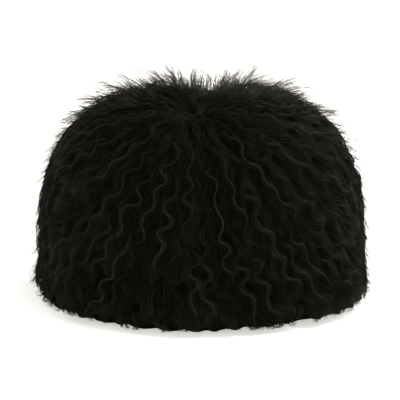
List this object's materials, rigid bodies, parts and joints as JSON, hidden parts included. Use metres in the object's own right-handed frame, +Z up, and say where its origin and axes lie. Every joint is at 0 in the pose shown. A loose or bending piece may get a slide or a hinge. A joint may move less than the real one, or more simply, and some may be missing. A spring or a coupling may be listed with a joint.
{
  "type": "papakha hat",
  "caption": "Round long-wool sheepskin hat with wavy black locks radiating from a whorl on its crown to the hem.",
  "frame": {"origin": "on the floor under the middle of the hat, which stands on its rim", "axes": "+Z up through the crown, -Y to the front of the wearer's head, +X across the head"},
  "size_m": [0.3035, 0.3201, 0.1897],
  "materials": {
    "sheepskin": "matte",
    "black_wool": "matte"
  },
  "bodies": {
    "root": {"band_skin": "sheepskin", "crown_skin": "sheepskin", "fleece": "black_wool"}
  },
  "joints": []
}
